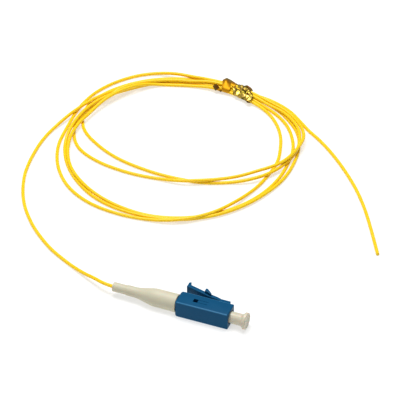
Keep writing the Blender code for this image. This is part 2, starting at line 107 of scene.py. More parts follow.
def add_panel(name, place, aim, size, power):
    """A square soft light that faces a point."""
    light = bpy.data.lights.new(name, "AREA")
    light.shape = "SQUARE"
    light.size = size
    light.energy = power
    lamp = bpy.data.objects.new(name, light)
    bpy.context.scene.collection.objects.link(lamp)
    lamp.location = place
    lamp.rotation_mode = "QUATERNION"
    lamp.rotation_quaternion = (Vector(aim) - Vector(place)).to_track_quat("-Z", "Y")


add_panel("panel_above", (-0.10, 0.15, 0.75), (0.0, 0.03, 0.0), 0.5, 4.9)
add_panel("panel_front", (-0.25, -0.42, 0.65), (0.0, 0.0, 0.0), 0.2, 0.5)

world = bpy.data.worlds.new("white_sky")
bpy.context.scene.world = world
world.use_nodes = True
world.node_tree.nodes["Background"].inputs["Color"].default_value = (1.0, 1.0, 1.0, 1.0)
world.node_tree.nodes["Background"].inputs["Strength"].default_value = 0.27

print("lights are in")

# %% [markdown]
# ## Shader maths
#
# A material is a graph of nodes. Writing each Math node by hand takes many lines, so a small class wraps
# a socket and lets Python's own operators add the nodes. Colours are mixed with Mix nodes, never with Math
# nodes, which would turn them grey.


# %% Wires of a shader
class Wire:
    """One output socket, or a plain number, that Python operators can work on."""

    def __init__(self, graph, value):
        self.graph = graph
        self.value = value

    def math(self, operation, *others, clamp=False):
        values = [self.value] + [other.value if isinstance(other, Wire) else other for other in others]
        return self.graph.node("Math", {"operation": operation, "use_clamp": clamp}, values)[0]

    def __add__(self, other):
        return self.math("ADD", other)

    def __radd__(self, other):
        return self.math("ADD", other)

    def __sub__(self, other):
        return self.math("SUBTRACT", other)

    def __rsub__(self, other):
        return Wire(self.graph, other).math("SUBTRACT", self)

    def __mul__(self, other):
        return self.math("MULTIPLY", other)

    def __rmul__(self, other):
        return self.math("MULTIPLY", other)

    def absolute(self):
        return self.math("ABSOLUTE")

    def clamped(self):
        return self.math("ADD", 0.0, clamp=True)


print("wires ready")


# %% A finish
class Finish:
    """A material with one Principled shader, and methods that add the other nodes."""

    def __init__(self, name):
        self.material = bpy.data.materials.new(name)
        self.material.use_nodes = True
        self.tree = self.material.node_tree
        self.shader = self.tree.nodes["Principled BSDF"]

    def node(self, kind, settings=None, inputs=()):
        """Adds a ShaderNode of a kind, sets it up, feeds its sockets, and returns all its outputs."""
        made = self.tree.nodes.new("ShaderNode" + kind)
        for name, value in (settings or {}).items():
            setattr(made, name, value)
        pairs = inputs.items() if isinstance(inputs, dict) else enumerate(inputs)
        for key, value in pairs:
            self.feed(made.inputs[key], value)
        return [Wire(self, output) for output in made.outputs]

    def feed(self, socket, value):
        value = value.value if isinstance(value, Wire) else value
        if isinstance(value, bpy.types.NodeSocket):
            self.tree.links.new(value, socket)
        elif socket.type == "RGBA" and len(value) == 3:
            socket.default_value = (*value, 1.0)
        else:
            socket.default_value = value

    def place(self):
        """Object coordinates, in metres."""
        return self.node("TexCoord")[3]

    def noise(self, where, scale, detail=3.0):
        return self.node("TexNoise", {}, {"Vector": where, "Scale": scale, "Detail": detail})[0]

    def mix(self, share, first, second):
        """A colour that goes from the first to the second as share goes from 0 to 1."""
        return self.node("MixRGB", {}, [share, first, second])[0]

    def bump(self, height, distance, strength=1.0):
        return self.node("Bump", {}, {"Height": height, "Distance": distance, "Strength": strength})[0]

    def wear(self, **sockets):
        """Feeds the Principled shader's own sockets."""
        for name, value in sockets.items():
            self.feed(self.shader.inputs[name.replace("_", " ")], value)


print("finishes ready")

# %% [markdown]
# ## Floor
#
# The floor is white card that also glows a little, the way an overexposed backdrop does, so shadows stay
# faint while the object keeps its tones.

# %% Floor
bpy.ops.object.select_all(action="DESELECT")
bpy.ops.mesh.primitive_plane_add(size=6.0, location=(0.0, 0.0, -0.00002))
floor = bpy.context.object
floor.name = "floor"
card = Finish("white_card")
fleck = card.noise(card.place(), 400.0)
card.wear(
    Base_Color=card.mix(fleck, (0.42, 0.42, 0.42), (0.45, 0.45, 0.45)),
    Roughness=0.9,
    Emission_Color=(1.0, 1.0, 1.0),
    Emission_Strength=0.48,
)
floor.data.materials.append(card.material)
floor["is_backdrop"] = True
print("floor is in")

# %% [markdown]
# ## Sizes
#
# The plug's main sizes come from the boxes of its solids, so that the new pieces fill the same room. The
# origin is the middle of the side that the plug rests on. X points out of the plug's nose and Z points up.
# The latch is on the far side, at positive Y.


# %% Sizes of the plug, in millimetres
def box_in_mm(node):
    """A solid's lowest and highest corners, to a thousandth of a millimetre."""
    return [[round(value * 1000, 3) for value in corner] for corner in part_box(node)]


housing_low, housing_high = box_in_mm("connector_housing")
boot_low, boot_high = box_in_mm("boot")
cap_low, cap_high = box_in_mm("dust_cap")
REAR_X = housing_low[0]
NOSE_X = housing_high[0]
SIDE = housing_high[2]
AXIS_Z = SIDE / 2
BOOT_REAR_X = boot_low[0]
print("plug from", REAR_X, "to", NOSE_X, "mm, boot from", BOOT_REAR_X, "mm, side", SIDE, "mm")

# %% [markdown]
# ## The fibre
#
# The fibre is one piece of tight-buffered glass, nominally 0.9 mm thick, from the plug to its cut end. It
# lies in five loose turns: three make the outer band and two cut across in front. A real turn is never
# a perfect circle, so each turn's radius is given at a few angles and a loop joins them with a smooth
# curve. Every point of the route also carries a rank. Where two stretches cross, the one with the higher
# rank lies on top. The two loose turns dive under most of the band on the left and climb over it on the
# right. The order changes again inside the tie, where nobody sees it.

# %% Fibre sizes and its two ends
FIBRE = 0.93
RADIUS = FIBRE / 2
SPACING = 1.0
COIL_X = -33.6
COIL_Y = 65.5
# The foil lifts the bundle between these angles, and the lift fades out over some more degrees
TIE_LIFT = 0.55
TIE_FROM = 97.0
TIE_TO = 70.5
TIE_RAMP = 14.0

LEAD_START = [
    (BOOT_REAR_X + 3.0, 0.0, AXIS_Z), (BOOT_REAR_X, 0.0, 2.35), (-28.4, 0.6, 2.2), (-31.5, 2.0, 1.75),
    (-34.8, 3.5, 1.1), (-37.8, 5.0, 0.65),
]
LEAD_ROUTE = [
    (-40.6, 6.4), (-43.3, 7.8), (-47.6, 10.3), (-51.7, 13.4), (-55.4, 16.7), (-58.8, 20.4), (-61.9, 24.4),
    (-64.5, 28.7), (-66.6, 33.2), (-68.3, 37.9), (-69.4, 42.7), (-70.1, 47.6), (-70.5, 52.6), (-70.4, 57.5),
    (-69.8, 62.0), (-69.1, 66.0), (-68.4, 69.2),
]
TAIL_ROUTE = [
    (-3.7, 86.2), (-0.2, 83.7), (3.7, 80.5), (9.4, 75.0), (13.5, 70.5), (18.4, 64.4), (22.9, 57.7),
    (26.9, 50.8), (30.8, 43.7), (32.7, 40.2),
]
print("points of the lead:", len(LEAD_START + LEAD_ROUTE), "of the tail:", len(TAIL_ROUTE))

# %% Radii of the turns
TURNS = 5
# An angle in degrees, and the radius of each turn there, in the order in which they were laid
TURN_RADII = [
    (84, 31.15, 30.2, 29.25, 31.65, 30.7),
    (71, 30.95, 30.0, 29.05, 31.45, 30.5),
    (62, 31.6, 30.1, 29.1, 32.7, 31.5),
    (51, 32.2, 30.6, 28.85, 33.9, 32.9),
    (44, 32.4, 30.9, 28.5, 34.3, 33.3),
    (37, 32.7, 31.0, 28.15, 34.6, 33.5),
    (30, 32.8, 30.95, 27.8, 34.2, 33.1),
    (21, 32.5, 30.9, 27.4, 32.2, 32.2),
    (6, 31.9, 30.4, 27.4, 28.3, 29.6),
    (-8, 31.8, 30.6, 27.4, 23.6, 26.6),
    (-20, 31.8, 31.0, 28.0, 21.0, 23.75),
    (-38, 32.5, 31.8, 29.5, 18.0, 19.8),
    (-52, 33.2, 32.4, 31.5, 16.65, 17.55),
    (-66, 33.7, 32.8, 33.2, 16.2, 15.7),
    (-82, 33.7, 32.9, 34.4, 16.15, 14.65),
    (-98, 33.4, 32.3, 35.3, 16.9, 14.5),
    (-112, 33.2, 31.9, 35.9, 18.35, 15.0),
    (-125, 32.7, 31.7, 35.9, 20.4, 16.2),
    (-139, 32.4, 31.7, 35.2, 23.7, 18.35),
    (-157, 32.2, 31.3, 34.1, 28.6, 22.55),
    (-175, 32.0, 30.8, 33.2, 31.15, 28.6),
    (-191, 32.2, 30.2, 34.4, 31.5, 32.4),
    (-205, 32.2, 30.2, 35.8, 31.7, 33.6),
    (-216, 31.8, 30.6, 36.5, 32.9, 33.7),
    (-232, 31.5, 30.7, 36.7, 32.8, 33.5),
    (-246, 30.7, 29.7, 35.3, 32.1, 33.0),
    (-252, 30.6, 29.5, 34.2, 31.8, 32.8),
    (-263, 30.55, 29.6, 32.0, 31.05, 32.5),
]
# From the lead into the first pass through the tie, and out of the last pass to the tail
FIRST_PASS = [(165, 34.0), (155, 33.5), (144, 33.0), (128, 32.5), (114, 31.9), (108, 31.7), (97, 31.5)]
LAST_PASS = [(84, 32.1), (74, 32.0), (62, 33.6), (51, 34.7), (42, 35.2)]
print("turns:", TURNS, "angles in each:", len(TURN_RADII))

# %% Ranks and heights
# Which stretch lies on top of which, a higher rank over a lower one: past the tie down to the front, from
# the front round to the tie, and inside the tie, where two strands ride on four
LEAD_RANK = 2
RIGHT_RANKS = (4, 3, 5, 7, 6)
LEFT_RANKS = (4, 5, 0, 3, 1)
TIE_RANKS = (2, 2, 2, 8, 8, 1)
TAIL_RANK = 1
FRONT = -100
RANKS_CHANGE_AT = (-224, 68)
TIE_ANGLES = (68, 100)
# The height at which the turns seemed to lie when their radii were measured, outside the tie, and in it
# for the strands on top and for those below them
SEEN_HEIGHT = 0.9
SEEN_ON_TOP = 1.87
SEEN_BELOW = 1.02
print("ranks on the right:", RIGHT_RANKS, "on the left:", LEFT_RANKS)

# %% [markdown]
# The route is joined into one line of points that are a millimetre apart. Each point holds its place, its
# lowest height, its rank, and the height at which it was seen.


# %% Join the route into one line
def polar(angle, radius):
    turn = math.radians(angle)
    return (COIL_X + radius * math.cos(turn), COIL_Y + radius * math.sin(turn))


def smooth_line(points, spacing):
    """Points at an even spacing along a smooth curve through uneven ones."""
    knots = np.array(points, dtype=float)
    steps = np.linalg.norm(np.diff(knots[:, :2], axis=0), axis=1)
    marks = np.concatenate([[0.0], np.cumsum(steps)])
    slopes = np.gradient(knots, marks, axis=0)
    fine = np.arange(0.0, marks[-1], spacing)
    index = np.clip(np.searchsorted(marks, fine, side="right") - 1, 0, len(knots) - 2)
    span = (marks[index + 1] - marks[index])[:, None]
    share = (fine[:, None] - marks[index][:, None]) / span
    rest = 1 - share
    start = knots[index] * (1 + 2 * share) * rest ** 2 + slopes[index] * span * share * rest ** 2
    end = knots[index + 1] * share ** 2 * (3 - 2 * share) - slopes[index + 1] * span * share ** 2 * rest
    return start + end


def lift_by_tie(angle):
    """How far the foil under the bundle holds it off the floor."""
    beyond = max(angle - TIE_FROM, TIE_TO - angle, 0.0)
    share = max(0.0, 1.0 - beyond / TIE_RAMP)
    return TIE_LIFT * share * share * (3 - 2 * share)


def rank_at(turn, angle):
    """Each turn starts in the tie at 84 degrees and ends in it at -263."""
    if angle < RANKS_CHANGE_AT[0] or angle > RANKS_CHANGE_AT[1]:
        return TIE_RANKS[turn] if angle > 0 else TIE_RANKS[turn + 1]
    return RIGHT_RANKS[turn] if angle > FRONT else LEFT_RANKS[turn]


def coil_point(angle, radius, rank):
    """x, y, lowest height, rank, and the height at which the point was seen."""
    on_circle = (angle + 180) % 360 - 180
    seen = SEEN_HEIGHT
    if TIE_ANGLES[0] < on_circle < TIE_ANGLES[1]:
        seen = SEEN_ON_TOP if rank == max(TIE_RANKS) else SEEN_BELOW
    return (*polar(angle, radius), RADIUS + lift_by_tie(on_circle), rank, seen)


route = [(x, y, z, LEAD_RANK, z) for x, y, z in LEAD_START]
route += [(x, y, RADIUS, LEAD_RANK, RADIUS) for x, y in LEAD_ROUTE]
route += [coil_point(angle, radius, LEAD_RANK) for angle, radius in FIRST_PASS]
for turn in range(TURNS):
    route += [coil_point(angle, radii[turn], rank_at(turn, angle)) for angle, *radii in TURN_RADII]
route += [coil_point(angle, radius, TAIL_RANK) for angle, radius in LAST_PASS]
route += [(x, y, RADIUS, TAIL_RANK, RADIUS) for x, y in TAIL_ROUTE]
line = smooth_line(route, SPACING)
print("route points:", len(route), "line points:", len(line))

# %% [markdown]
# Each point of the line now gets its height. Where a stretch comes closer than one diameter to another one
# with a lower rank, it has to climb over it. A widest-neighbour filter and then a soft average turn those
# sudden steps into long humps, as stiff plastic makes them, and since both reach equally far the
# average never sinks below what it must clear. A stretch that climbs is also moved along the camera's
# line of sight, because its place was measured as if it lay at some other height. A few rounds of this
# settle the whole ring.

# %% Lay the fibre down
# How far a hump reaches, and how far apart along the line two points must be to cross, both in points
HUMP = 6
APART_ALONG = 40
LEAST_RANK_STEP = 0.5
ROUNDS = 12
SIGHT = np.array([math.sin(CAMERA_TURN), -math.cos(CAMERA_TURN)]) / math.tan(CAMERA_HEIGHT)


def widened(values, reach):
    """The largest value within reach of each point."""
    padded = np.pad(values, reach, mode="edge")
    return np.max([padded[k:k + len(values)] for k in range(2 * reach + 1)], axis=0)


def softened(values, reach):
    """An average over the points within reach, in which near ones count most."""
    weights = np.hanning(2 * reach + 3)[1:-1]
    padded = np.pad(values, reach, mode="edge")
    return np.convolve(padded, weights / weights.sum(), mode="valid")


steps = np.arange(len(line))
far_along = np.abs(steps[:, None] - steps) > APART_ALONG
lies_over = (line[:, None, 3] > line[None, :, 3] + LEAST_RANK_STEP) & far_along


def climbs(flat, heights):
    """How far each point has to rise above its lowest place to clear what lies under it."""
    apart = np.hypot(*(flat[:, None] - flat[None]).transpose(2, 0, 1))
    over = heights[None] + np.sqrt(np.maximum(FIBRE ** 2 - apart ** 2, 0.0)) - line[:, 2][:, None]
    return np.where(lies_over & (apart < FIBRE), over, 0.0).max(axis=1).clip(0.0)


heights = line[:, 2].copy()
for _ in range(ROUNDS):
    flat = line[:, :2] + (heights - line[:, 4])[:, None] * SIGHT
    rise = softened(widened(climbs(flat, heights), HUMP), HUMP)
    heights = (heights + line[:, 2] + rise) / 2
laid = np.column_stack([flat, line[:, 2] + rise])

# %% Make the fibre's curve
curve = bpy.data.curves.new("fibre", "CURVE")
curve.dimensions = "3D"
curve.bevel_depth = RADIUS / 1000
curve.bevel_resolution = 4
curve.use_fill_caps = True
spline = curve.splines.new("POLY")
spline.points.add(len(laid) - 1)
for point, (x, y, z) in zip(spline.points, laid):
    point.co = (x / 1000, y / 1000, z / 1000, 1.0)
spline.use_smooth = True
fibre = bpy.data.objects.new("fibre", curve)
bpy.context.scene.collection.objects.link(fibre)

yellow = Finish("fibre_yellow")
spot = yellow.place()
mottle = yellow.noise(spot, 180.0, 2.0)
yellow.wear(
    Base_Color=yellow.mix(mottle, (0.95, 0.65, 0.012), (0.92, 0.61, 0.010)),
    Roughness=0.34 + 0.1 * yellow.noise(spot, 900.0),
    Normal=yellow.bump(yellow.noise(spot, 2500.0), 0.00001),
    Subsurface_Weight=0.25,
    Subsurface_Radius=(1.0, 0.7, 0.1),
    Subsurface_Scale=0.0006,
)
curve.materials.append(yellow.material)
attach(fibre, "root")
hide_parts("fibre_lead", "fibre_coil", "fibre_tail")
print("fibre laid")

# %% [markdown]
# ## Tools for the plug
#
# The moulded pieces are built the way one builds in Blender's edit mode. A section starts as a flat face
# and is extruded from station to station, moved and resized at each. Round pieces use a disc, the latch
# uses a rectangle. Cutters made in the same way open the bores. Each piece is scaled down to metres at the
# end.

# %% Modelling helpers
def select_only(obj):
    bpy.ops.object.select_all(action="DESELECT")
    obj.select_set(True)
    bpy.context.view_layer.objects.active = obj


def apply_modifier(obj, kind, **settings):
    select_only(obj)
    modifier = obj.modifiers.new(kind.title(), kind)
    for name, value in settings.items():
        setattr(modifier, name, value)
    bpy.ops.object.modifier_apply(modifier=modifier.name)


def round_sharp(obj, radius, segments, sharp_degrees):
    """Rounds the edges whose faces turn by more than an angle."""
    sharp = math.radians(sharp_degrees)
    apply_modifier(obj, "BEVEL", width=radius, segments=segments, limit_method="ANGLE", angle_limit=sharp)


def round_edges(obj, radius, segments, is_wide, other_share):
    """Rounds the edges whose ends pass a test by the full radius, and all others by a share of it."""
    weights = obj.data.attributes.new("bevel_weight_edge", "FLOAT", "EDGE")
    for edge in obj.data.edges:
        ends = [obj.data.vertices[index].co for index in edge.vertices]
        weights.data[edge.index].value = 1.0 if all(is_wide(end) for end in ends) else other_share
    apply_modifier(obj, "BEVEL", width=radius, segments=segments, limit_method="WEIGHT")


def join_in(obj, other, operation):
    """Adds or cuts another solid, and removes it."""
    apply_modifier(obj, "BOOLEAN", operation=operation, solver="EXACT", object=other)
    bpy.data.objects.remove(other, do_unlink=True)


def add_block(name, low, high):
    """A box between two corners."""
    low, high = Vector(low), Vector(high)
    bpy.ops.object.select_all(action="DESELECT")
    bpy.ops.mesh.primitive_cube_add(size=1.0, location=(low + high) / 2)
    block = bpy.context.object
    block.name = name
    block.scale = high - low
    bpy.ops.object.transform_apply(location=True, rotation=True, scale=True)
    return block


print("modelling helpers ready")

# %% Helpers that turn and sweep
MERGE_BELOW = 0.0005
FACE_ALONG_X = (0, math.pi / 2, 0)


def recalculate(obj):
    """Merges doubles and turns every face outwards."""
    select_only(obj)
    bpy.ops.object.mode_set(mode="EDIT")
    bpy.ops.mesh.select_all(action="SELECT")
    bpy.ops.mesh.remove_doubles(threshold=MERGE_BELOW)
    bpy.ops.mesh.normals_make_consistent(inside=False)
    bpy.ops.object.mode_set(mode="OBJECT")


def extrude_on(stations, obj):
    """Carries an end face through (x, y, height, width) stations, one extrusion for each."""
    select_only(obj)
    bpy.ops.object.mode_set(mode="EDIT")
    bpy.ops.mesh.select_all(action="SELECT")
    for (x, y, height, width), (next_x, next_y, next_height, next_width) in zip(stations, stations[1:]):
        step = (next_x - x, next_y - y, 0.0)
        bpy.ops.mesh.extrude_region_move(TRANSFORM_OT_translate={"value": step})
        growth = (1.0, next_height / height, next_width / width)
        bpy.ops.transform.resize(value=growth, center_override=(next_x, next_y, AXIS_Z))
    bpy.ops.object.mode_set(mode="OBJECT")
    recalculate(obj)
    return obj


def turned(name, profile, sides=64):
    """A round solid along the plug's axis, from (x, radius) stations."""
    x, radius = profile[0]
    bpy.ops.object.select_all(action="DESELECT")
    bpy.ops.mesh.primitive_circle_add(
        vertices=sides, radius=radius, fill_type="NGON", location=(x, 0, AXIS_Z), rotation=FACE_ALONG_X)
    disc = bpy.context.object
    disc.name = name
    bpy.ops.object.transform_apply(location=True, rotation=True, scale=True)
    return extrude_on([(x, 0.0, radius * 2, radius * 2) for x, radius in profile], disc)


def swept(name, stations):
    """A rectangular bar along X, from (x, y, height, width) stations."""
    x, y, height, width = stations[0]
    bpy.ops.object.select_all(action="DESELECT")
    bpy.ops.mesh.primitive_plane_add(size=1.0, location=(x, y, AXIS_Z), rotation=FACE_ALONG_X)
    face = bpy.context.object
    face.name = name
    face.scale = (width, height, 1.0)
    bpy.ops.object.transform_apply(location=True, rotation=True, scale=True)
    return extrude_on(stations, face)


print("turning and sweeping ready")

# %% Finish a piece
SMOOTH_BELOW = math.radians(35)


def finish_piece(obj, look, body, slot, *replaced):
    """Brings a piece down to metres, smooths it, dresses it and hands it to the frame."""
    recalculate(obj)
    obj.scale = (0.001, 0.001, 0.001)
    bpy.ops.object.transform_apply(location=True, rotation=True, scale=True)
    bpy.ops.object.shade_smooth_by_angle(angle=SMOOTH_BELOW)
    obj.data.materials.clear()
    obj.data.materials.append(look.material)
    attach(obj, body)
    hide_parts(*replaced)
    print(obj.name, "triangles:", sum(len(face.vertices) - 2 for face in obj.data.polygons))


print("finishing ready")

# %% [markdown]
# ## The plug housing
#
# The housing is one injection moulding, about 4.7 mm square. Its edges have a small radius and those of its
# rear end a wider one. The latch lever grows from a pad near the nose, runs back over the housing like a
# diving board and ends in a lip for the thumb. Two catches on its sides hook into the adapter. The mouth in
# the nose takes the dust cap, the rear socket takes the boot, and a blind window on each side shows where
# the inner parts snap in. Two fine grooves run forward from each window.

# %% Housing body
EDGE = 0.25
REAR_EDGE = 0.65
FACE_Y = SIDE / 2

housing = add_block("plug_shell", (REAR_X, -FACE_Y, 0.0), (NOSE_X, FACE_Y, SIDE))
round_edges(housing, REAR_EDGE, 6, lambda end: end.x < 0, EDGE / REAR_EDGE)
print("housing faces:", len(housing.data.polygons))

# %% Latch lever
LATCH_FRONT = NOSE_X - 1.3
LATCH_TIP = LATCH_FRONT - 13.05
PAD_LENGTH = 2.7
PAD_WIDTH = 4.0
PAD_HEIGHT = 1.2
PAD_ROOT = 0.5
PAD_EDGE = 0.6
KNEE_X = LATCH_FRONT - 2 * PAD_LENGTH
KNEE_RISE = 2.4
TIP_RISE = 4.2
LEVER_THICK = 1.1
LEVER_WIDTH = 3.0
LEVER_EDGE = 0.12
LIP_LENGTH = 0.7
LIP_HEIGHT = 1.0


def lever_top(x):
    """Height of the lever's outer face."""
    share = (KNEE_X - x) / (KNEE_X - LATCH_TIP - LIP_LENGTH)
    return FACE_Y + KNEE_RISE + (TIP_RISE - KNEE_RISE) * max(share, 0.0)


def lever_station(x, top, thickness, width=LEVER_WIDTH):
    """A section of the lever, from its place and the height of its outer face."""
    return (x, top - thickness / 2, thickness, width)


pad_end = LATCH_FRONT - PAD_LENGTH
lip_x = LATCH_TIP + LIP_LENGTH
lever = swept("latch", [
    lever_station(pad_end + 1.2, FACE_Y + 0.9, 0.9, 3.9),
    lever_station(pad_end + 0.4, FACE_Y + 1.15, 1.0, 3.9),
    lever_station(pad_end - 0.5, FACE_Y + 1.5, 0.95, 3.8),
    lever_station(pad_end - 1.4, FACE_Y + 1.92, 1.0, 3.5),
    lever_station(KNEE_X + 0.5, FACE_Y + 2.24, 1.05, 3.2),
    lever_station(KNEE_X - 0.5, lever_top(KNEE_X - 0.5), LEVER_THICK),
    lever_station(lip_x + 0.25, lever_top(lip_x + 0.25), LEVER_THICK),
    lever_station(lip_x, lever_top(lip_x) + 0.12, LEVER_THICK + 0.12),
    lever_station(lip_x - 0.15, lever_top(lip_x) + LIP_HEIGHT, LEVER_THICK + LIP_HEIGHT),
    lever_station(LATCH_TIP, lever_top(lip_x) + LIP_HEIGHT * 0.8, LEVER_THICK + LIP_HEIGHT * 0.75),
])
round_sharp(lever, LEVER_EDGE, 3, 50)

pad_low = (pad_end, FACE_Y - PAD_ROOT, AXIS_Z - PAD_WIDTH / 2)
pad = add_block("latch_pad", pad_low, (LATCH_FRONT, FACE_Y + PAD_HEIGHT, AXIS_Z + PAD_WIDTH / 2))
round_edges(pad, PAD_EDGE, 4, lambda end: end.x > pad_end + 1.0 and end.y > FACE_Y, 0.2)
join_in(housing, pad, "UNION")
join_in(housing, lever, "UNION")
print("housing and latch faces:", len(housing.data.polygons))

# %% Catches on the lever
CATCH_BACK = LATCH_TIP + 5.25
CATCH_LENGTH = 2.05
CATCH_HEIGHT = 0.5
CATCH_WIDTH = 4.4
CATCH_THICK = 0.95
CATCH_EDGE = 0.08

back_top = lever_top(CATCH_BACK) + CATCH_HEIGHT
front_x = CATCH_BACK + CATCH_LENGTH
for side in (-1, 1):
    catch = swept("catch", [
        lever_station(CATCH_BACK, back_top - 0.12, CATCH_HEIGHT + 0.45, CATCH_THICK),
        lever_station(CATCH_BACK + 0.2, back_top, CATCH_HEIGHT + 0.6, CATCH_THICK),
        lever_station(CATCH_BACK + 0.5, back_top - 0.05, CATCH_HEIGHT + 0.6, CATCH_THICK),
        lever_station(front_x, lever_top(front_x) - 0.4, 0.35, CATCH_THICK),
    ])
    catch.location.z = side * (CATCH_WIDTH - CATCH_THICK) / 2
    round_sharp(catch, CATCH_EDGE, 2, 30)
    select_only(catch)
    bpy.ops.object.transform_apply(location=True, rotation=True, scale=True)
    join_in(housing, catch, "UNION")
print("housing, latch and catches:", len(housing.data.polygons))

# %% Bores
NOSE_DEPTH = 1.6
MOUTH_RADIUS = 1.7
SOCKET_RADIUS = 1.75
SOCKET_DEPTH = 3.0
FERRULE_HOLE_RADIUS = 0.775
FERRULE_HOLE_DEPTH = 4.8
CHAMFER = 0.14
# How far a cutter reaches out past the face that it opens
PAST_END = 0.2

web_x = NOSE_X - NOSE_DEPTH
chamfered = CHAMFER + PAST_END
join_in(housing, turned("mouth", [
    (web_x, MOUTH_RADIUS), (NOSE_X - CHAMFER, MOUTH_RADIUS), (NOSE_X + PAST_END, MOUTH_RADIUS + chamfered),
]), "DIFFERENCE")
join_in(housing, turned("ferrule_hole", [
    (web_x - FERRULE_HOLE_DEPTH, FERRULE_HOLE_RADIUS), (web_x + 0.1, FERRULE_HOLE_RADIUS),
]), "DIFFERENCE")
join_in(housing, turned("socket", [
    (REAR_X - PAST_END, SOCKET_RADIUS + chamfered), (REAR_X + CHAMFER, SOCKET_RADIUS),
    (REAR_X + SOCKET_DEPTH, SOCKET_RADIUS),
]), "DIFFERENCE")
print("housing with bores:", len(housing.data.polygons))

# %% Windows and grooves
WINDOW_X = -2.35
WINDOW = 1.2
WINDOW_DEPTH = 1.3
GROOVE_X = WINDOW_X + WINDOW / 2 - 0.05
GROOVE_Y = WINDOW / 2 - 0.1
GROOVE_LENGTH = 2.8
GROOVE_WIDTH = 0.14
GROOVE_DEPTH = 0.06
PAST_SIDE = 0.3


def both_sides(depth):
    """The heights between which a cutter works, for the lower and for the upper side."""
    return ((-PAST_SIDE, depth), (SIDE - depth, SIDE + PAST_SIDE))


half = WINDOW / 2
for low, high in both_sides(WINDOW_DEPTH):
    window = add_block("window", (WINDOW_X - half, -half, low), (WINDOW_X + half, half, high))
    join_in(housing, window, "DIFFERENCE")
half = GROOVE_WIDTH / 2
for low, high in both_sides(GROOVE_DEPTH):
    for middle in (-GROOVE_Y, GROOVE_Y):
        corner = (GROOVE_X + GROOVE_LENGTH, middle + half, high)
        groove = add_block("groove", (GROOVE_X, middle - half, low), corner)
        join_in(housing, groove, "DIFFERENCE")
print("finished housing faces:", len(housing.data.polygons))

# %% [markdown]
# The housing is moulded in a solid, satin, deep blue. A mould leaves a very fine texture, so the roughness
# and the colour wander a little, and a tiny bump breaks up the highlights. A paler blue is painted along
# the four long edges as a painted highlight, which draws a thin light line along them.

# %% Blue plastic
# How far from a long edge the painted highlight reaches, in millimetres, and how sharply it ends
EDGE_HIGHLIGHT_WIDTH = EDGE * 1.15
EDGE_HIGHLIGHT_SHARPNESS = 9.0

blue = Finish("housing_blue")
spot = blue.place()
cloud = blue.noise(spot, 260.0, 3.0)
grain = blue.noise(spot, 3500.0, 2.0)
y, z = (part * 1000.0 for part in blue.node("SeparateXYZ", {}, [spot])[1:3])
from_edge = (y.absolute() - FACE_Y).absolute() + ((z - AXIS_Z).absolute() - AXIS_Z).absolute()
# The long edges get a paler blue: a painted highlight where their rounding catches the front light
painted_edge_highlight = ((EDGE_HIGHLIGHT_WIDTH - from_edge) * EDGE_HIGHLIGHT_SHARPNESS).clamped()
plain = blue.mix(cloud, (0.002, 0.080, 0.178), (0.003, 0.096, 0.206))
blue.wear(
    Base_Color=blue.mix(painted_edge_highlight, plain, (0.055, 0.21, 0.38)),
    Roughness=0.26 + 0.14 * cloud,
    Specular_IOR_Level=0.2,
    Normal=blue.bump(grain, 0.000012, 0.5),
)
finish_piece(housing, blue, "root", "housing", "connector_housing")

# %% [markdown]
# ## Boot, cap and ferrule
#
# The boot is a soft turned sleeve that keeps the fibre from bending sharply where it leaves the plug:
# straight at first, then a long smooth taper, then a plain neck. The dust cap is a small blind sleeve. It
# has a flared rim to pull on, and a shallow dish in its end with a moulding pip in the middle. Both are
# milky plastic that light enters a little way, so they get some subsurface scattering.

# %% Boot
BOOT_FRONT_X = REAR_X - 0.02
BOOT_RADIUS = boot_high[1]
STRAIGHT_TO = -12.75
WAIST_FROM = -19.35
WAIST_RADIUS = 1.375
NECK_FROM = BOOT_REAR_X + 3.7
NECK_RADIUS = 1.25
BORE_RADIUS = 0.72
BORE_DEPTH = 7.0
STUB_RADIUS = 1.6
STUB_LENGTH = 2.6
TAPER_STEPS = 24
LIP = 0.12


def taper(share):
    """Half a cosine wave from the straight part down to the waist."""
    return WAIST_RADIUS + (BOOT_RADIUS - WAIST_RADIUS) * (1 + math.cos(math.pi * share)) / 2


profile = [(BOOT_FRONT_X + STUB_LENGTH, STUB_RADIUS), (BOOT_FRONT_X, STUB_RADIUS)]
profile += [(BOOT_FRONT_X, BOOT_RADIUS - LIP), (BOOT_FRONT_X - LIP, BOOT_RADIUS)]
for step in range(TAPER_STEPS + 1):
    share = step / TAPER_STEPS
    profile.append((STRAIGHT_TO + (WAIST_FROM - STRAIGHT_TO) * share, taper(share)))
profile += [(NECK_FROM + 0.15, WAIST_RADIUS), (NECK_FROM, NECK_RADIUS)]
profile += [(BOOT_REAR_X + LIP, NECK_RADIUS), (BOOT_REAR_X, NECK_RADIUS - LIP)]
profile += [(BOOT_REAR_X, BORE_RADIUS + LIP), (BOOT_REAR_X + LIP, BORE_RADIUS)]
profile += [(BOOT_REAR_X + BORE_DEPTH, BORE_RADIUS)]
boot = turned("boot_sleeve", profile)

cream = Finish("boot_cream")
spot = cream.place()
cloud = cream.noise(spot, 220.0, 3.0)
grain = cream.noise(spot, 2600.0, 2.0)
cream.wear(
    Base_Color=cream.mix(cloud, (0.56, 0.53, 0.40), (0.63, 0.60, 0.465)),
    Roughness=0.42 + 0.12 * cloud,
    Normal=cream.bump(grain, 0.000015, 0.5),
    Subsurface_Weight=0.12,
    Subsurface_Scale=0.0008,
)
finish_piece(boot, cream, "root", "boot", "boot")

# %% Dust cap
CAP_RADIUS = 1.55
CAP_INNER_X = cap_low[0]
CAP_EDGE = 0.1
CAP_BORE = 0.775
BORE_END = NOSE_X + 4.0
RIM_RADIUS = cap_high[1]
RIM_FROM = NOSE_X + 3.75
RIM_TO = cap_high[0]
RIM_EDGE = 0.18
RIM_STEPS = 4
FLARE_FROM = NOSE_X + 2.85
FLARE_STEPS = 6
DISH_RADIUS = 1.7
DISH_DEPTH = 0.12
PIP_RADIUS = 0.3

